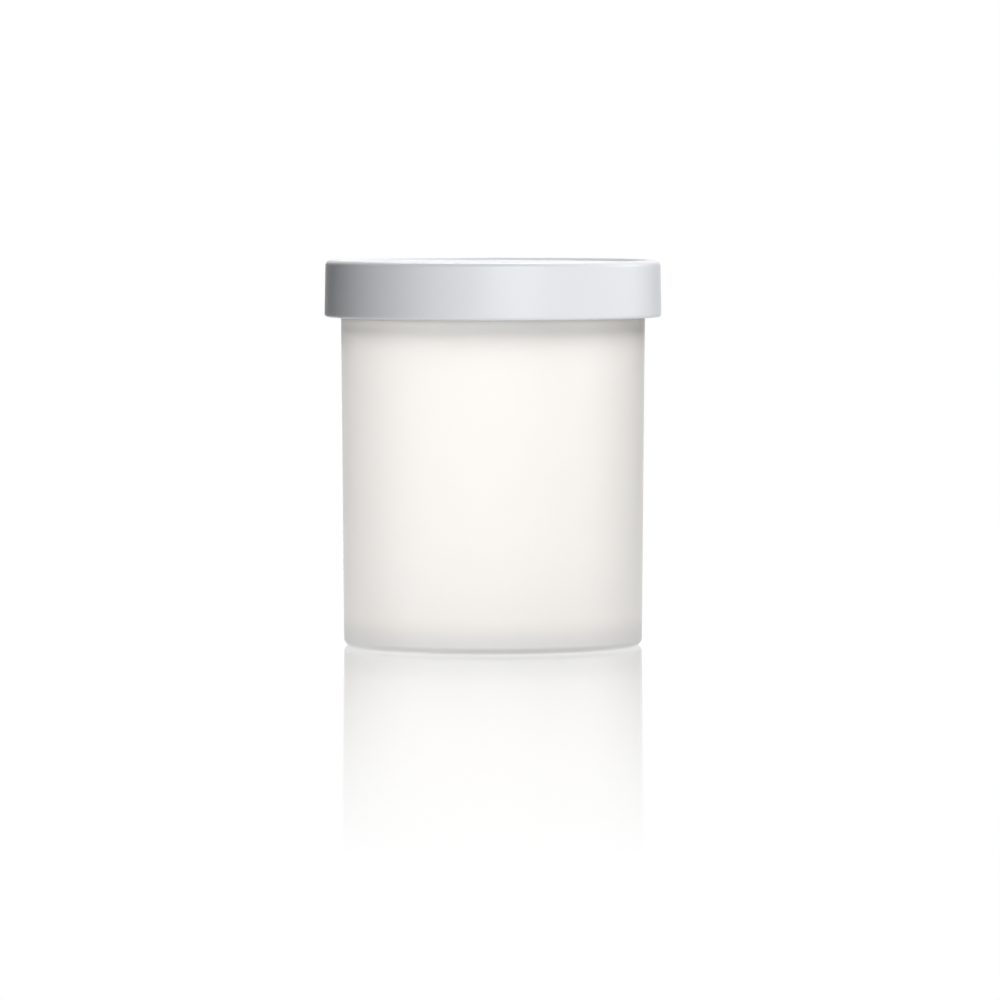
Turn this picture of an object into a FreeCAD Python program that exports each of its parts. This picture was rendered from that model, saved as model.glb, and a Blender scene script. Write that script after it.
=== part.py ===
"""A cylindrical screw-cap container of moulded polypropylene: a translucent straight-sided jar,
a white overhanging screw cap, and the soft sealing disc that the cap carries.

The jar is one moulding. It stands on a narrow foot ring round a recessed base, its wall narrows a
little towards the foot so that it leaves the mould, and a single-start thread runs round its mouth.
The cap is one moulding with the matching thread inside its skirt. Its raised rim is wide enough for
the foot of another container to stand inside it. The sealing disc lies on the rim of the jar and
under the top of the cap, held up in the cap by the thread.

Millimetres, +Z up, origin at the centre of the foot, on the surface that the container stands on.
Turning the cap counter-clockwise, seen from above, raises it by one thread pitch for each turn.
"""

import math
import os

import FreeCAD
import Part

# The jar
JAR_HEIGHT = 81.0  # from the surface it stands on to the rim
BODY_DIAMETER = 66.5  # outside the wall, at the mouth
WALL = 1.5
BODY_DRAFT = 0.5  # degrees, each side, narrowing towards the foot
FLOOR_THICKNESS = 1.7
FOOT_HEIGHT = 1.1  # how far the base is recessed above the surface
FOOT_WIDTH = 1.9  # the flat ring that it stands on
FOOT_SLOPE = 0.6  # width of the slope from the ring up to the recessed base
FOOT_ROUNDING = 0.3  # at both ends of that slope
HEEL_ROUNDING = 1.5  # outside, between the wall and the foot
FLOOR_ROUNDING = 3.0  # inside, between the wall and the floor
RIM_ROUNDING = 0.4  # both edges of the rim

# The thread, with the same profile on both pieces
THREAD_PITCH = 4.2
THREAD_DEPTH = 1.2
THREAD_CREST = 0.7  # width of the flat on top of the ridge
FLANK_ANGLE = 30.0  # degrees, each side
THREAD_CLEARANCE = 0.3  # radial, crest to root, on both pieces
FLANK_CLEARANCE = 0.25  # between the flanks that bear when the cap is tight
THREAD_END_GAP = 0.5  # from the end of a thread to the nearest edge of its piece
THREAD_START = 60.0  # degrees round from +X to the lower end of the neck's thread

# The cap
CAP_HEIGHT = 12.4
CAP_WALL = 2.1  # the skirt, at its lower edge
CAP_DRAFT = 1.0  # degrees, narrowing towards the top
CAP_TOP_THICKNESS = 1.4  # under the recessed panel
CAP_RIM_HEIGHT = 0.6  # how far the rim stands above the panel
CAP_RIM_SLOPE = 0.5  # width of the slope from the panel up to the rim
CAP_RIM_ROUNDING = 0.25  # at both ends of that slope
CAP_TOP_ROUNDING = 1.2  # outside, at the top of the skirt
CAP_BOTTOM_ROUNDING = 0.7  # outside, at the skirt's lower edge
CAP_INNER_ROUNDING = 0.4  # inside, between the skirt and the top
SKIRT_CHAMFER = 0.6  # inside, at the skirt's lower edge
STACKING_CLEARANCE = 0.6  # between the panel's edge and the wall of a container standing on it

# The sealing disc
LINER_THICKNESS = 1.2
LINER_CLEARANCE = 0.25  # to the inside of the skirt
LINER_ROUNDING = 0.3

# The gate marks that the moulds leave
GATE_DIAMETER = 1.8
GATE_HEIGHT = 0.35
GATE_DIMPLE_DIAMETER = 7.0
GATE_DIMPLE_DEPTH = 0.45

# How far a ridge is carried into its wall, so that the two become one solid
EMBED = 0.4

# Levels and radii that follow from the sizes above
neck_radius = BODY_DIAMETER / 2
crest_radius = neck_radius + THREAD_DEPTH
skirt_inner_radius = crest_radius + THREAD_CLEARANCE
cap_crest_radius = neck_radius + THREAD_CLEARANCE
cap_radius = skirt_inner_radius + CAP_WALL

cap_inner_top = JAR_HEIGHT + LINER_THICKNESS
panel_level = cap_inner_top + CAP_TOP_THICKNESS
cap_top = panel_level + CAP_RIM_HEIGHT
skirt_bottom = cap_top - CAP_HEIGHT

body_slope = math.tan(math.radians(BODY_DRAFT))
foot_body_radius = neck_radius - skirt_bottom * body_slope
floor_level = FOOT_HEIGHT + FLOOR_THICKNESS
foot_inner_radius = foot_body_radius - HEEL_ROUNDING - FOOT_WIDTH
panel_radius = foot_body_radius + STACKING_CLEARANCE
cap_top_radius = cap_radius - CAP_HEIGHT * math.tan(math.radians(CAP_DRAFT))

thread_half_base = THREAD_CREST / 2 + THREAD_DEPTH * math.tan(math.radians(FLANK_ANGLE))
jar_thread_low = skirt_bottom + THREAD_END_GAP + thread_half_base
cap_thread_low = skirt_bottom + SKIRT_CHAMFER + THREAD_END_GAP + thread_half_base


def vector(radius, height):
    """A point of a section, in the plane of X and Z."""
    return FreeCAD.Vector(radius, 0, height)


def rounded_section(corners):
    """A closed wire through corners (radius, height, rounding), with each rounding a tangent arc."""
    edges = []
    last_end = None
    first_start = None
    count = len(corners)
    for i, (radius, height, rounding) in enumerate(corners):
        here = vector(radius, height)
        before = vector(*corners[i - 1][:2])
        after = vector(*corners[(i + 1) % count][:2])
        start = end = here
        if rounding:
            back = (before - here).normalize()
            ahead = (after - here).normalize()
            half_angle = back.getAngle(ahead) / 2
            reach = rounding / math.tan(half_angle)
            start = here + back * reach
            end = here + ahead * reach
            middle_way = (back + ahead).normalize()
            to_arc = rounding / math.sin(half_angle) - rounding
            middle = here + middle_way * to_arc
        if last_end is None:
            first_start = start
        else:
            edges.append(Part.LineSegment(last_end, start).toShape())
        if rounding:
            edges.append(Part.Arc(start, middle, end).toShape())
        last_end = end
    edges.append(Part.LineSegment(last_end, first_start).toShape())
    return Part.Wire(edges)


def turned(corners):
    """The solid that a section makes when it is turned about the Z axis."""
    face = Part.Face(rounded_section(corners))
    return face.revolve(FreeCAD.Vector(0, 0, 0), FreeCAD.Vector(0, 0, 1), 360)


def ridge_half_width(depth_from_crest):
    """Half the width of a ridge at this depth below its crest."""
    return THREAD_CREST / 2 + depth_from_crest * math.tan(math.radians(FLANK_ANGLE))


def ridge_section(crest, base, height):
    """The ridge's trapezium, from its crest radius to a base radius inside the wall."""
    half_base = ridge_half_width(abs(crest - base))
    half_crest = THREAD_CREST / 2
    return Part.makePolygon(
        [
            vector(base, height - half_base),
            vector(crest, height - half_crest),
            vector(crest, height + half_crest),
            vector(base, height + half_base),
            vector(base, height - half_base),
        ]
    )


def half_round_end(crest, base, height, angle, sweep):
    """Half of a cone on the radius at this height and angle, as wide as the ridge that it ends."""
    half_base = ridge_half_width(abs(crest - base))
    half_section = Part.makePolygon(
        [
            vector(base, height),
            vector(crest, height),
            vector(crest, height + THREAD_CREST / 2),
            vector(base, height + half_base),
            vector(base, height),
        ]
    )
    end = Part.Face(half_section).revolve(vector(0, height), FreeCAD.Vector(1, 0, 0), sweep)
    end.rotate(FreeCAD.Vector(0, 0, 0), FreeCAD.Vector(0, 0, 1), angle)
    return end


def thread_ridge(crest, base, low, high, start_angle):
    """The solids of a ridge whose middle rises from low to high: its helix and two half-round ends.

    It starts start_angle degrees round from +X, and turns counter-clockwise as it rises.
    """
    helix = Part.makeHelix(THREAD_PITCH, high - low, base)
    helix.translate(FreeCAD.Vector(0, 0, low))
    path = Part.Wire(helix.Edges)
    swept = path.makePipeShell([ridge_section(crest, base, low)], True, True)
    turns = (high - low) / THREAD_PITCH
    start = half_round_end(crest, base, low, 0, 180)
    finish = half_round_end(crest, base, high, turns * 360, -180)
    ridge = [swept, start, finish]
    for solid in ridge:
        solid.rotate(FreeCAD.Vector(0, 0, 0), FreeCAD.Vector(0, 0, 1), start_angle)
    return ridge


def gate_mark(level, upwards):
    """A small round stub where the plastic entered the mould, standing on a level."""
    direction = FreeCAD.Vector(0, 0, 1 if upwards else -1)
    base = FreeCAD.Vector(0, 0, level) - direction * EMBED
    return Part.makeCylinder(GATE_DIAMETER / 2, GATE_HEIGHT + EMBED, base, direction)


def gate_dimple(level, upwards):
    """The shallow dish that keeps the gate's stub below the surface round it."""
    half = GATE_DIMPLE_DIAMETER / 2
    sphere_radius = (half**2 + GATE_DIMPLE_DEPTH**2) / (2 * GATE_DIMPLE_DEPTH)
    rise = sphere_radius - GATE_DIMPLE_DEPTH
    centre = level + rise if upwards else level - rise
    return Part.makeSphere(sphere_radius, FreeCAD.Vector(0, 0, centre))


def jar_thread():
    """The ridge round the neck, from just above the skirt's edge to just below the rim."""
    high = JAR_HEIGHT - RIM_ROUNDING - THREAD_END_GAP - thread_half_base
    return thread_ridge(crest_radius, neck_radius - EMBED, jar_thread_low, high, THREAD_START)


def cap_thread():
    """The ridge inside the skirt, timed to lie under the neck's ridge and close to it."""
    high = JAR_HEIGHT - THREAD_END_GAP - thread_half_base
    overlap = THREAD_DEPTH - THREAD_CLEARANCE
    touching = THREAD_CREST + overlap * math.tan(math.radians(FLANK_ANGLE))
    below = touching + FLANK_CLEARANCE / math.cos(math.radians(FLANK_ANGLE))
    start_angle = THREAD_START + 360 * (cap_thread_low + below - jar_thread_low) / THREAD_PITCH
    return thread_ridge(cap_crest_radius, skirt_inner_radius + EMBED, cap_thread_low, high, start_angle)


def make_jar():
    """The jar: its turned wall and floor, the thread, and the gate mark in the recessed base.

    The wall is straight behind the cap's skirt and narrows from there to the foot.
    """
    inner_neck = neck_radius - WALL
    inner_floor = foot_body_radius - WALL + floor_level * body_slope
    body = turned(
        [
            (0, FOOT_HEIGHT, 0),
            (foot_inner_radius - FOOT_SLOPE, FOOT_HEIGHT, FOOT_ROUNDING),
            (foot_inner_radius, 0, FOOT_ROUNDING),
            (foot_body_radius, 0, HEEL_ROUNDING),
            (neck_radius, skirt_bottom, 0),
            (neck_radius, JAR_HEIGHT, RIM_ROUNDING),
            (inner_neck, JAR_HEIGHT, RIM_ROUNDING),
            (inner_neck, skirt_bottom, 0),
            (inner_floor, floor_level, FLOOR_ROUNDING),
            (0, floor_level, 0),
        ]
    )
    dimpled = body.cut(gate_dimple(FOOT_HEIGHT, upwards=False))
    mark = gate_mark(FOOT_HEIGHT + GATE_DIMPLE_DEPTH, upwards=False)
    return dimpled.fuse([mark] + jar_thread())


def make_cap():
    """The cap: its turned skirt and top, the thread inside, and the gate mark in the panel."""
    shell = turned(
        [
            (0, panel_level, 0),
            (panel_radius, panel_level, CAP_RIM_ROUNDING),
            (panel_radius + CAP_RIM_SLOPE, cap_top, CAP_RIM_ROUNDING),
            (cap_top_radius, cap_top, CAP_TOP_ROUNDING),
            (cap_radius, skirt_bottom, CAP_BOTTOM_ROUNDING),
            (skirt_inner_radius + SKIRT_CHAMFER, skirt_bottom, 0),
            (skirt_inner_radius, skirt_bottom + SKIRT_CHAMFER, 0),
            (skirt_inner_radius, cap_inner_top, CAP_INNER_ROUNDING),
            (0, cap_inner_top, 0),
        ]
    )
    dimpled = shell.cut(gate_dimple(panel_level, upwards=True))
    mark = gate_mark(panel_level - GATE_DIMPLE_DEPTH, upwards=True)
    return dimpled.fuse([mark] + cap_thread())


def make_liner():
    """The disc between the jar's rim and the underside of the cap's top."""
    radius = skirt_inner_radius - LINER_CLEARANCE
    return turned(
        [
            (0, JAR_HEIGHT, 0),
            (radius, JAR_HEIGHT, LINER_ROUNDING),
            (radius, cap_inner_top, LINER_ROUNDING),
            (0, cap_inner_top, 0),
        ]
    )


def main():
    os.makedirs("parts", exist_ok=True)
    pieces = {"jar_body": make_jar(), "screw_cap": make_cap(), "cap_liner": make_liner()}
    for name, shape in pieces.items():
        shape.exportStep(os.path.join("parts", name + ".step"))
        print(name, len(shape.Solids), "solid,", round(shape.Volume, 1), "mm3, valid", shape.isValid())


main()
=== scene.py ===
"""The looks of the screw-cap container: the jar, the cap and the sealing disc as finely turned meshes
with their threads, the plastics that they are moulded from, the table, the light and the camera."""

import math

import bmesh
import bpy
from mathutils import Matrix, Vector


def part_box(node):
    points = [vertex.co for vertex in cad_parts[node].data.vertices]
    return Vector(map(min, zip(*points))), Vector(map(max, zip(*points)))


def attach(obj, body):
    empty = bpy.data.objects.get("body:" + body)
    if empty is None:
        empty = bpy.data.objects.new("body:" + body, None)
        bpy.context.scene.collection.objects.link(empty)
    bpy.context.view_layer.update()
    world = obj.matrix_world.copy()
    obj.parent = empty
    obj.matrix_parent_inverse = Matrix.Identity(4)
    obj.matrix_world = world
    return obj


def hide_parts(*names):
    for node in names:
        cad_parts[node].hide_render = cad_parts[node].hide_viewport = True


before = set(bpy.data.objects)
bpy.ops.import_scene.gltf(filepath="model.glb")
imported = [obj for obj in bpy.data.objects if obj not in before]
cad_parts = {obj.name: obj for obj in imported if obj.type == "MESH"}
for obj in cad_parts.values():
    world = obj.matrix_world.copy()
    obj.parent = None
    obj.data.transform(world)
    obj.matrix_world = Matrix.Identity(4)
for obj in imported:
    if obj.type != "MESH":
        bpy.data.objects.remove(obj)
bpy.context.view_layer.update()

# All sizes below are in millimetres. A mesh is turned into metres as it is made.
MM = 0.001

# Sizes read from the frame
_, jar_high = (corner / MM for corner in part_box("jar_body"))
cap_low, cap_high = (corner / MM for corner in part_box("screw_cap"))
liner_low, liner_high = (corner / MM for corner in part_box("cap_liner"))

jar_height = jar_high.z
crest_radius = jar_high.x
skirt_bottom = cap_low.z
cap_top = cap_high.z
cap_radius = cap_high.x
cap_inner_top = liner_high.z
liner_radius = liner_high.x

# The thread, as both pieces have it
THREAD_PITCH = 4.2
THREAD_DEPTH = 1.2
THREAD_CREST = 0.7
FLANK_ANGLE = 30.0
THREAD_CLEARANCE = 0.3
FLANK_CLEARANCE = 0.25
THREAD_END_GAP = 0.5
THREAD_START = 60.0

# The jar
WALL = 1.5
BODY_DRAFT = 0.5
FLOOR_THICKNESS = 1.7
FOOT_HEIGHT = 1.1
FOOT_WIDTH = 1.9
FOOT_SLOPE = 0.6
FOOT_ROUNDING = 0.3
HEEL_ROUNDING = 1.5
FLOOR_ROUNDING = 3.0
RIM_ROUNDING = 0.4

# The cap and the sealing disc
CAP_DRAFT = 1.0
CAP_RIM_HEIGHT = 0.6
CAP_RIM_SLOPE = 0.5
CAP_RIM_ROUNDING = 0.25
CAP_TOP_ROUNDING = 1.2
CAP_BOTTOM_ROUNDING = 0.7
CAP_INNER_ROUNDING = 0.4
SKIRT_CHAMFER = 0.6
STACKING_CLEARANCE = 0.6
LINER_ROUNDING = 0.3

# The gate marks
GATE_DIAMETER = 1.8
GATE_HEIGHT = 0.35
GATE_ROUNDING = 0.12
GATE_DIMPLE_DIAMETER = 7.0
GATE_DIMPLE_DEPTH = 0.45

# How finely the meshes are divided
SEGMENTS = 384
ARC_STEPS = 8
THREAD_ROW = 0.14
WALL_ROW = 4.0
SUPPORT = 0.12

# Sizes that follow
neck_radius = crest_radius - THREAD_DEPTH
skirt_inner_radius = crest_radius + THREAD_CLEARANCE
panel_level = cap_top - CAP_RIM_HEIGHT
foot_body_radius = neck_radius - skirt_bottom * math.tan(math.radians(BODY_DRAFT))
floor_level = FOOT_HEIGHT + FLOOR_THICKNESS
foot_inner_radius = foot_body_radius - HEEL_ROUNDING - FOOT_WIDTH
panel_radius = foot_body_radius + STACKING_CLEARANCE
cap_height = cap_top - skirt_bottom
cap_top_radius = cap_radius - cap_height * math.tan(math.radians(CAP_DRAFT))

flank = math.tan(math.radians(FLANK_ANGLE))
half_base = THREAD_CREST / 2 + THREAD_DEPTH * flank
jar_thread_low = skirt_bottom + THREAD_END_GAP + half_base
jar_thread_high = jar_height - RIM_ROUNDING - THREAD_END_GAP - half_base
cap_thread_low = skirt_bottom + SKIRT_CHAMFER + THREAD_END_GAP + half_base
cap_thread_high = jar_height - THREAD_END_GAP - half_base


class Thread:
    """A ridge round a wall: its middle line is a helix, and its ends are half round."""

    def __init__(self, radius, low, high, start_degrees):
        self.radius = radius
        self.low = low
        self.start = math.radians(start_degrees)
        self.turns = (high - low) / THREAD_PITCH

    def height_at(self, angle, level):
        """How far the ridge stands out of the wall there."""
        along = (angle - self.start) / math.tau
        nearest = half_base
        while along < self.turns + 1:
            inside = min(max(along, 0), self.turns)
            across = level - self.low - inside * THREAD_PITCH
            beyond = (along - inside) * math.tau * self.radius
            nearest = min(nearest, math.hypot(across, beyond))
            along += 1
        share = (half_base - nearest) / (half_base - THREAD_CREST / 2)
        share = min(max(share, 0), 1)
        eased = share * share * (3 - 2 * share)
        return THREAD_DEPTH * (share + eased) / 2


overlap = THREAD_DEPTH - THREAD_CLEARANCE
ridge_spacing = THREAD_CREST + overlap * flank + FLANK_CLEARANCE / math.cos(math.radians(FLANK_ANGLE))
cap_thread_start = THREAD_START + 360 * (cap_thread_low + ridge_spacing - jar_thread_low) / THREAD_PITCH
jar_thread = Thread(neck_radius, jar_thread_low, jar_thread_high, THREAD_START)
cap_thread = Thread(skirt_inner_radius, cap_thread_low, cap_thread_high, cap_thread_start % 360 - 360)


def rounded_corner(before, here, after, rounding):
    """The points of the arc that rounds a corner and touches both of its sides."""
    back = (before - here).normalized()
    ahead = (after - here).normalized()
    half_angle = back.angle(ahead) / 2
    centre = here + (back + ahead).normalized() * rounding / math.sin(half_angle)
    reach = rounding / math.tan(half_angle)
    start = here + back * reach - centre
    end = here + ahead * reach - centre
    return [centre + start.slerp(end, i / ARC_STEPS) * rounding for i in range(ARC_STEPS + 1)]


def divided_run(start, end, row):
    """Points between two ends, one close to each end and the rest about a row apart."""
    length = (end - start).length
    if length < 4 * SUPPORT:
        return []
    way = (end - start) / length
    first = start + way * SUPPORT
    last = end - way * SUPPORT
    rows = max(1, round((length - 2 * SUPPORT) / row))
    return [first.lerp(last, i / rows) for i in range(rows + 1)]


def section(corners):
    """The points (radius, height, thread) of a section, from corners (radius, height, rounding, thread).

    The thread named at a corner stands on the run from that corner to the next.
    """
    arcs = []
    for i, (radius, height, rounding, _) in enumerate(corners):
        here = Vector((radius, height))
        if rounding:
            before = Vector(corners[i - 1][:2])
            after = Vector(corners[i + 1][:2])
            arcs.append(rounded_corner(before, here, after, rounding))
        else:
            arcs.append([here])
    points = []
    for i, arc in enumerate(arcs):
        points += [(p.x, p.y, None) for p in arc]
        if i + 1 < len(arcs):
            thread = corners[i][3]
            row = THREAD_ROW if thread else WALL_ROW
            points += [(p.x, p.y, thread) for p in divided_run(arc[-1], arcs[i + 1][0], row)]
    return points


def turned(name, points, outwards):
    """A closed mesh turned from a section that starts and ends on the axis.

    The ridge of a threaded run stands outwards from the axis, or towards it where outwards is -1.
    """
    verts = []
    rings = []
    for radius, height, thread in points:
        if radius == 0:
            rings.append([len(verts)])
            verts.append((0, 0, height * MM))
            continue
        ring = []
        for i in range(SEGMENTS):
            angle = math.tau * i / SEGMENTS
            reach = radius
            if thread:
                reach += outwards * thread.height_at(angle, height)
            ring.append(len(verts))
            verts.append((reach * math.cos(angle) * MM, reach * math.sin(angle) * MM, height * MM))
        rings.append(ring)
    faces = []
    for lower, upper in zip(rings, rings[1:]):
        for i in range(SEGMENTS):
            j = (i + 1) % SEGMENTS
            below = [lower[i % len(lower)], lower[j % len(lower)]]
            above = [upper[j % len(upper)], upper[i % len(upper)]]
            faces.append(list(dict.fromkeys(below + above)))
    mesh = bpy.data.meshes.new(name)
    mesh.from_pydata(verts, [], faces)
    work = bmesh.new()
    work.from_mesh(mesh)
    bmesh.ops.recalc_face_normals(work, faces=work.faces)
    work.to_mesh(mesh)
    work.free()
    mesh.polygons.foreach_set("use_smooth", [True] * len(mesh.polygons))
    piece = bpy.data.objects.new(name, mesh)
    bpy.context.scene.collection.objects.link(piece)
    return piece


def gate_section(level, way):
    """Corners from the axis out over a gate's stub and its dimple, which lies the other way from it."""
    half = GATE_DIMPLE_DIAMETER / 2
    dish_radius = (half**2 + GATE_DIMPLE_DEPTH**2) / (2 * GATE_DIMPLE_DEPTH)
    stub = GATE_DIAMETER / 2

    def dish(radius):
        return level + way * (dish_radius - GATE_DIMPLE_DEPTH - math.sqrt(dish_radius**2 - radius**2))

    dish_steps = [stub + (half - stub) * i / ARC_STEPS for i in range(ARC_STEPS + 1)]
    stub_top = level - way * (GATE_DIMPLE_DEPTH - GATE_HEIGHT)
    return [(0, stub_top, 0, None), (stub, stub_top, GATE_ROUNDING, None)] + [
        (radius, dish(radius), 0, None) for radius in dish_steps
    ]


def make_jar():
    inner_neck = neck_radius - WALL
    inner_floor = foot_body_radius - WALL + floor_level * math.tan(math.radians(BODY_DRAFT))
    corners = gate_section(FOOT_HEIGHT, -1) + [
        (foot_inner_radius - FOOT_SLOPE, FOOT_HEIGHT, FOOT_ROUNDING, None),
        (foot_inner_radius, 0, FOOT_ROUNDING, None),
        (foot_body_radius, 0, HEEL_ROUNDING, None),
        (neck_radius, skirt_bottom, 0, jar_thread),
        (neck_radius, jar_height, RIM_ROUNDING, None),
        (inner_neck, jar_height, RIM_ROUNDING, None),
        (inner_neck, skirt_bottom, 0, None),
        (inner_floor, floor_level, FLOOR_ROUNDING, None),
        (0, floor_level, 0, None),
    ]
    return turned("jar", section(corners), 1)


def make_cap():
    corners = gate_section(panel_level, 1) + [
        (panel_radius, panel_level, CAP_RIM_ROUNDING, None),
        (panel_radius + CAP_RIM_SLOPE, cap_top, CAP_RIM_ROUNDING, None),
        (cap_top_radius, cap_top, CAP_TOP_ROUNDING, None),
        (cap_radius, skirt_bottom, CAP_BOTTOM_ROUNDING, None),
        (skirt_inner_radius + SKIRT_CHAMFER, skirt_bottom, 0, None),
        (skirt_inner_radius, skirt_bottom + SKIRT_CHAMFER, 0, cap_thread),
        (skirt_inner_radius, cap_inner_top, CAP_INNER_ROUNDING, None),
        (0, cap_inner_top, 0, None),
    ]
    return turned("cap", section(corners), -1)


def make_liner():
    corners = [
        (0, liner_low.z, 0, None),
        (liner_radius, liner_low.z, LINER_ROUNDING, None),
        (liner_radius, liner_high.z, LINER_ROUNDING, None),
        (0, liner_high.z, 0, None),
    ]
    return turned("sealing_disc", section(corners), 1)

# The plastics, each mottled between two colours that are almost the same
JAR_COLOURS = (0.94, 0.905, 0.862, 1), (0.96, 0.927, 0.887, 1)
CAP_COLOURS = (0.77, 0.79, 0.82, 1), (0.79, 0.81, 0.84, 1)
FOAM_COLOURS = (0.84, 0.84, 0.82, 1), (0.9, 0.9, 0.89, 1)
PLASTIC_IOR = 1.49

# The jar's wall is painted greyer up to this height: painted shade, standing in for the light that the
# floor behind it keeps from it
FOOT_PAINTED_SHADE = (0.78, 0.773, 0.762, 1)
FOOT_PAINTED_SHADE_HEIGHT = 8.0

# How much of the light goes into the jar's plastic, and how deep
LIGHT_SHARE = 0.35
LIGHT_DEPTH = 1.6

# The roughness of each surface, from its smoothest to its roughest places
JAR_ROUGHNESS = 0.34, 0.46
CAP_ROUGHNESS = 0.32, 0.42
FOAM_ROUGHNESS = 0.62

# The patterns: how many times they repeat in a metre, and how high their relief stands
JAR_MOTTLE = 55
JAR_DRAW_LINES = 900
JAR_DRAW_RELIEF = 0.004
JAR_SKIN = 2600
CAP_MOTTLE = 40
CAP_POLISH = 300
CAP_SKIN = 2200
SKIN_RELIEF = 0.006
FOAM_CELLS = 1800
FOAM_RELIEF = 0.03

# How many finer patterns lie within each pattern
MOTTLE_DETAIL = 3
SKIN_DETAIL = 2

# The draw lines run up the wall
DRAWN_OUT = (1, 1, 0.06)


def new_material(name):
    """A material with its nodes, its links and its Principled shader."""
    material = bpy.data.materials.new(name)
    material.use_nodes = True
    nodes = material.node_tree.nodes
    return material, nodes, material.node_tree.links, nodes["Principled BSDF"]


def noise(nodes, links, place, scale, detail):
    node = nodes.new("ShaderNodeTexNoise")
    node.inputs["Scale"].default_value = scale
    node.inputs["Detail"].default_value = detail
    links.new(place, node.inputs["Vector"])
    return node.outputs["Fac"]


def stretched(nodes, links, place, scale):
    """The place with each direction scaled by itself, so that a pattern is drawn out."""
    node = nodes.new("ShaderNodeMapping")
    node.inputs["Scale"].default_value = scale
    links.new(place, node.inputs["Vector"])
    return node.outputs["Vector"]


def two_colours(nodes, links, share, first, second):
    """The first colour where share is 0, the second where it is 1. Either may be a socket."""
    node = nodes.new("ShaderNodeMix")
    node.data_type = "RGBA"
    links.new(share, node.inputs["Factor"])
    for name, colour in (("A", first), ("B", second)):
        if isinstance(colour, tuple):
            node.inputs[name].default_value = colour
        else:
            links.new(colour, node.inputs[name])
    return node.outputs["Result"]


def spread(nodes, links, value, low, high, start=0, end=1, way="LINEAR"):
    """A number that goes from low to high while value goes from start to end."""
    node = nodes.new("ShaderNodeMapRange")
    node.interpolation_type = way
    node.inputs["From Min"].default_value = start
    node.inputs["From Max"].default_value = end
    node.inputs["To Min"].default_value = low
    node.inputs["To Max"].default_value = high
    links.new(value, node.inputs["Value"])
    return node.outputs["Result"]


def arithmetic(nodes, links, operation, first, second=None):
    """A sum on two values, each a socket or a plain number."""
    node = nodes.new("ShaderNodeMath")
    node.operation = operation
    for socket, value in zip(node.inputs, (first, second)):
        if isinstance(value, (int, float)):
            socket.default_value = value
        elif value:
            links.new(value, socket)
    return node.outputs[0]


def bump(nodes, links, height, relief, normal=None):
    node = nodes.new("ShaderNodeBump")
    node.inputs["Distance"].default_value = relief * MM
    links.new(height, node.inputs["Height"])
    if normal:
        links.new(normal, node.inputs["Normal"])
    return node.outputs["Normal"]


def seen_rays(nodes, links):
    """1 for the rays that show a surface, straight or mirrored, and 0 for those that light others."""
    path = nodes.new("ShaderNodeLightPath")
    seen = path.outputs["Is Camera Ray"]
    for kind in ("Is Glossy Ray", "Is Transmission Ray"):
        seen = arithmetic(nodes, links, "MAXIMUM", seen, path.outputs[kind])
    return seen


def natural_plastic():
    """Uncoloured polypropylene: milky, warm, letting light in, with a fine moulded skin, and painted
    shade that greys it towards its foot.
    """
    material, nodes, links, shader = new_material("natural_plastic")
    place = nodes.new("ShaderNodeTexCoord").outputs["Object"]
    mottle = noise(nodes, links, place, JAR_MOTTLE, MOTTLE_DETAIL)
    wall = two_colours(nodes, links, mottle, *JAR_COLOURS)
    parts = nodes.new("ShaderNodeSeparateXYZ")
    links.new(place, parts.inputs["Vector"])
    height = parts.outputs["Z"]
    # Painted shade: the wall's colour turns greyer towards the foot, standing in for the light that the
    # jar's floor keeps from the wall there
    lowest, highest = FOOT_HEIGHT * MM, FOOT_PAINTED_SHADE_HEIGHT * MM
    above = spread(nodes, links, height, 0, 1, lowest, highest, "SMOOTHSTEP")
    links.new(two_colours(nodes, links, above, FOOT_PAINTED_SHADE, wall), shader.inputs["Base Color"])
    drawn_place = stretched(nodes, links, place, DRAWN_OUT)
    drawn = noise(nodes, links, drawn_place, JAR_DRAW_LINES, SKIN_DETAIL)
    skin = noise(nodes, links, place, JAR_SKIN, SKIN_DETAIL)
    rippled = bump(nodes, links, drawn, JAR_DRAW_RELIEF)
    links.new(spread(nodes, links, drawn, *JAR_ROUGHNESS), shader.inputs["Roughness"])
    links.new(bump(nodes, links, skin, SKIN_RELIEF, rippled), shader.inputs["Normal"])
    shader.inputs["IOR"].default_value = PLASTIC_IOR
    shader.inputs["Subsurface Weight"].default_value = LIGHT_SHARE
    shader.inputs["Subsurface Radius"].default_value = (1, 1, 1)
    shader.inputs["Subsurface Scale"].default_value = LIGHT_DEPTH * MM
    return material


def white_plastic():
    """White polypropylene: opaque, cool, semi-gloss."""
    material, nodes, links, shader = new_material("white_plastic")
    place = nodes.new("ShaderNodeTexCoord").outputs["Object"]
    mottle = noise(nodes, links, place, CAP_MOTTLE, MOTTLE_DETAIL)
    polish = noise(nodes, links, place, CAP_POLISH, MOTTLE_DETAIL)
    skin = noise(nodes, links, place, CAP_SKIN, SKIN_DETAIL)
    links.new(two_colours(nodes, links, mottle, *CAP_COLOURS), shader.inputs["Base Color"])
    links.new(spread(nodes, links, polish, *CAP_ROUGHNESS), shader.inputs["Roughness"])
    links.new(bump(nodes, links, skin, SKIN_RELIEF), shader.inputs["Normal"])
    shader.inputs["IOR"].default_value = PLASTIC_IOR
    return material


def liner_foam():
    """Closed-cell foam with a pressed skin, in which the cells still show."""
    material, nodes, links, shader = new_material("liner_foam")
    place = nodes.new("ShaderNodeTexCoord").outputs["Object"]
    cells = nodes.new("ShaderNodeTexVoronoi")
    cells.inputs["Scale"].default_value = FOAM_CELLS
    links.new(place, cells.inputs["Vector"])
    depth = cells.outputs["Distance"]
    links.new(two_colours(nodes, links, depth, *FOAM_COLOURS), shader.inputs["Base Color"])
    links.new(bump(nodes, links, depth, FOAM_RELIEF), shader.inputs["Normal"])
    shader.inputs["Roughness"].default_value = FOAM_ROUGHNESS
    return material


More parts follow.
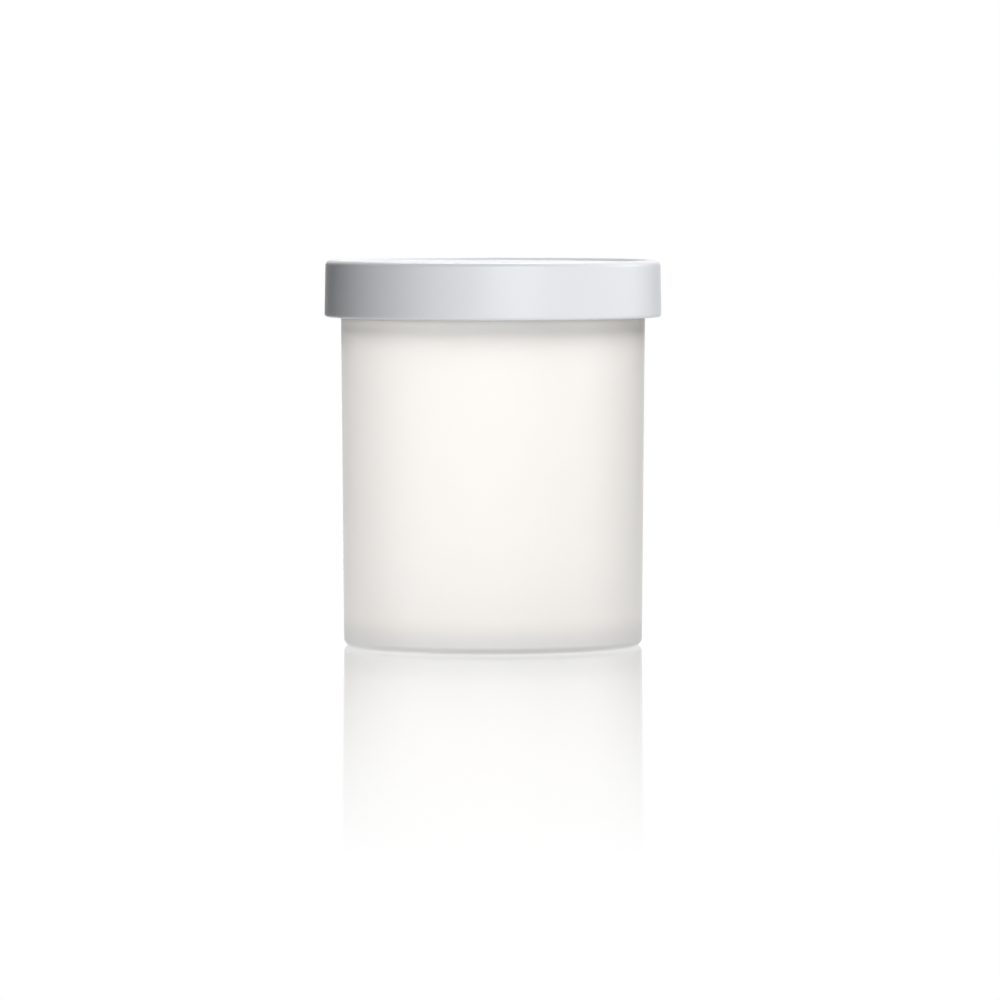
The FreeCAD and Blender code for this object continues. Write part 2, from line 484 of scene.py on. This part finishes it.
jar = make_jar()
jar.data.materials.append(natural_plastic())
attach(jar, "jar")
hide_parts("jar_body")

cap = make_cap()
cap.data.materials.append(white_plastic())
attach(cap, "cap")
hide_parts("screw_cap")

liner = make_liner()
liner.data.materials.append(liner_foam())
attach(liner, "liner")
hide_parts("cap_liner")


# The camera, from the ellipses that the photograph shows at the foot, the skirt and the top
EYE_DISTANCE = 1537
EYE_HEIGHT = 108.4
SENSOR = 36
PHOTO_WIDTH_AT_AXIS = 219
PHOTO_SIDE = 1000
AXIS_COLUMN = 493
FOOT_ROW = 644.5
NEAREST_SEEN = 10

pixel = PHOTO_WIDTH_AT_AXIS / PHOTO_SIDE
aim = Vector(((PHOTO_SIDE / 2 - AXIS_COLUMN) * pixel, 0, (FOOT_ROW - PHOTO_SIDE / 2) * pixel))
eye = Vector((aim.x, -EYE_DISTANCE, EYE_HEIGHT))
camera_data = bpy.data.cameras.new("camera")
camera_data.sensor_width = SENSOR
camera_data.lens = SENSOR * (aim - eye).length / PHOTO_WIDTH_AT_AXIS
camera_data.clip_start = NEAREST_SEEN * MM
camera = bpy.data.objects.new("camera", camera_data)
camera.location = eye * MM
camera.rotation_euler = (aim - eye).to_track_quat("-Z", "Y").to_euler()
bpy.context.scene.collection.objects.link(camera)
bpy.context.scene.camera = camera


TABLE_SIDE = 12000
bpy.ops.mesh.primitive_plane_add(size=TABLE_SIDE * MM)
table = bpy.context.object
table.name = "table"


# The lamps: name, azimuth (0 is the camera's side, 90 is +X), elevation, width, height, watts
LAMP_DISTANCE = 1000
CAP_LAMPS = [
    ("cap_key", 15, 18, 700, 600, 6.6),
    ("cap_side", 106, 18, 500, 400, 5.0),
    ("cap_top", 180, 60, 700, 500, 7.5),
]
JAR_LAMPS = [
    ("high", 3, 53, 1300, 450, 7.1),
    ("high_left", -70, 53, 600, 450, 3.3),
    ("high_right", 70, 53, 600, 450, 4.1),
    ("low", 0, 8, 900, 300, 1.6),
    ("low_left", -64, 8, 700, 300, 2.4),
    ("low_right", 80, 8, 700, 300, 1.5),
]
JAR_BACK_LAMP = ("back", 180, 50, 900, 450, 12)


def lamp(name, azimuth, elevation, width, height, watts, pieces):
    """A soft box that faces the middle of the object. Only the pieces named have its light."""
    data = bpy.data.lights.new(name, "AREA")
    data.shape = "RECTANGLE"
    data.size = width * MM
    data.size_y = height * MM
    data.energy = watts
    turn, rise = math.radians(azimuth), math.radians(elevation)
    way = Vector(
        (math.sin(turn) * math.cos(rise), -math.cos(turn) * math.cos(rise), math.sin(rise))
    )
    target = Vector((0, 0, cap_top / 2))
    box = bpy.data.objects.new(name, data)
    box.location = (target + way * LAMP_DISTANCE) * MM
    box.rotation_euler = (-way).to_track_quat("-Z", "Y").to_euler()
    bpy.context.scene.collection.objects.link(box)
    lit = bpy.data.collections.new(name)
    for piece in pieces:
        lit.objects.link(piece)
    box.light_linking.receiver_collection = lit


for settings in CAP_LAMPS:
    lamp(*settings, [cap, liner])
for settings in JAR_LAMPS:
    lamp(*settings, [jar, table])
lamp(*JAR_BACK_LAMP, [jar])

# Dark cards beside the white object, out of the picture, so that its edges show against the white
CARD_DISTANCE = 145
CARD_FAR_END = 290
LEFT_CARD_NEAR_END = -125
RIGHT_CARD_NEAR_END = -40
CARD_HEIGHT = 150
CARD_SHADE = 0.02
CARD_ROUGHNESS = 0.8


def card(name, side, near_end):
    x = side * CARD_DISTANCE * MM
    y0, y1, z1 = near_end * MM, CARD_FAR_END * MM, CARD_HEIGHT * MM
    mesh = bpy.data.meshes.new(name)
    mesh.from_pydata([(x, y0, 0), (x, y1, 0), (x, y1, z1), (x, y0, z1)], [], [(0, 1, 2, 3)])
    sheet = bpy.data.objects.new(name, mesh)
    bpy.context.scene.collection.objects.link(sheet)
    sheet.visible_camera = False
    sheet.visible_shadow = False
    sheet.data.materials.append(card_surface)


card_surface, _, _, card_shader = new_material("card")
card_shader.inputs["Base Color"].default_value = (CARD_SHADE, CARD_SHADE, CARD_SHADE, 1)
card_shader.inputs["Roughness"].default_value = CARD_ROUGHNESS
card("left_card", -1, LEFT_CARD_NEAR_END)
card("right_card", 1, RIGHT_CARD_NEAR_END)

# The world, which is white where it is seen and gives no light
world = bpy.data.worlds.new("studio")
bpy.context.scene.world = world
world.use_nodes = True
world.cycles.sampling_method = "NONE"
world_nodes = world.node_tree.nodes
world_links = world.node_tree.links
background = world_nodes["Background"]
background.inputs["Color"].default_value = (1, 1, 1, 1)
world_links.new(seen_rays(world_nodes, world_links), background.inputs["Strength"])

# The table, which is white and mirrors less and less, up to its reach from the object's axis
TABLE_IOR = 1.5
MIRROR_REACH = 470
MIRROR_ROUGHNESS = 0.05

# The object's shadow on the table
SHADOW_STRENGTH = 0.3
SHADOW_LENGTH = 14
SHADOW_LIFT = 0.5
CONTACT_WIDTH = 2
CONTACT_LIGHT = 0.95

# The light that the table sends back to the object: less near the foot, with a glow at the heel
TABLE_BOUNCE = 0.6
DARK_FOOT = 0.95
BOUNCE_LENGTH = 18
HEEL_GLOW = 0.7
HEEL_GLOW_LENGTH = 2.2


def fading(nodes, links, distance, strength, length):
    """strength at the foot of the jar, dying away over the length in millimetres."""
    beyond = arithmetic(nodes, links, "SUBTRACT", distance, foot_body_radius * MM)
    outside = arithmetic(nodes, links, "MAXIMUM", beyond, 0.0)
    share = arithmetic(nodes, links, "DIVIDE", outside, -length * MM)
    faded = arithmetic(nodes, links, "EXPONENT", share)
    return arithmetic(nodes, links, "MULTIPLY", faded, strength)


def added(nodes, links, first, second):
    node = nodes.new("ShaderNodeAddShader")
    links.new(first, node.inputs[0])
    links.new(second, node.inputs[1])
    return node.outputs[0]


def mixed(nodes, links, share, first, second):
    node = nodes.new("ShaderNodeMixShader")
    links.new(share, node.inputs[0])
    links.new(first, node.inputs[1])
    links.new(second, node.inputs[2])
    return node.outputs[0]


def seen_table(nodes, links, distance):
    """White, with the object's soft shadow round its foot."""
    shade = fading(nodes, links, distance, SHADOW_STRENGTH, SHADOW_LENGTH)
    contact_start = (foot_body_radius - HEEL_ROUNDING) * MM
    contact_end = (foot_body_radius + CONTACT_WIDTH) * MM
    open_share = spread(nodes, links, distance, CONTACT_LIGHT, 1, contact_start, contact_end)
    shadow = arithmetic(nodes, links, "MULTIPLY", shade, SHADOW_LIFT)
    dimmed = arithmetic(nodes, links, "SUBTRACT", 1.0, shadow)
    glow = nodes.new("ShaderNodeEmission")
    links.new(arithmetic(nodes, links, "MULTIPLY", dimmed, open_share), glow.inputs["Strength"])
    shaded = nodes.new("ShaderNodeBsdfDiffuse")
    links.new(shade, shaded.inputs["Color"])
    return added(nodes, links, glow.outputs[0], shaded.outputs[0])


def lighting_table(nodes, links, distance):
    """What the object has from the table: bounced light, and a little glow at its heel."""
    dark_foot = fading(nodes, links, distance, DARK_FOOT, BOUNCE_LENGTH)
    lit_share = arithmetic(nodes, links, "SUBTRACT", 1.0, dark_foot)
    bounced = arithmetic(nodes, links, "MULTIPLY", lit_share, TABLE_BOUNCE)
    bounce = nodes.new("ShaderNodeBsdfDiffuse")
    links.new(bounced, bounce.inputs["Color"])
    heel = fading(nodes, links, distance, HEEL_GLOW, HEEL_GLOW_LENGTH)
    glow = nodes.new("ShaderNodeEmission")
    links.new(heel, glow.inputs["Strength"])
    return added(nodes, links, bounce.outputs[0], glow.outputs[0])


def table_surface():
    material, nodes, links, shader = new_material("table")
    nodes.remove(shader)
    seen = seen_rays(nodes, links)
    reach = nodes.new("ShaderNodeVectorMath")
    reach.operation = "LENGTH"
    links.new(nodes.new("ShaderNodeTexCoord").outputs["Object"], reach.inputs[0])
    distance = reach.outputs["Value"]

    lighting = lighting_table(nodes, links, distance)
    floor = mixed(nodes, links, seen, lighting, seen_table(nodes, links, distance))
    mirror = nodes.new("ShaderNodeBsdfGlossy")
    mirror.inputs["Color"].default_value = (1, 1, 1, 1)
    mirror.inputs["Roughness"].default_value = MIRROR_ROUGHNESS
    near = spread(nodes, links, distance, 1, 0, foot_body_radius * MM, MIRROR_REACH * MM)
    fresnel = nodes.new("ShaderNodeFresnel")
    fresnel.inputs["IOR"].default_value = TABLE_IOR
    gloss = arithmetic(nodes, links, "MULTIPLY", near, fresnel.outputs[0])
    share = arithmetic(nodes, links, "MULTIPLY", gloss, seen)
    surface = mixed(nodes, links, share, floor, mirror.outputs[0])
    links.new(surface, nodes["Material Output"].inputs["Surface"])
    return material


table.data.materials.append(table_surface())

bpy.context.scene.view_settings.view_transform = "Standard"
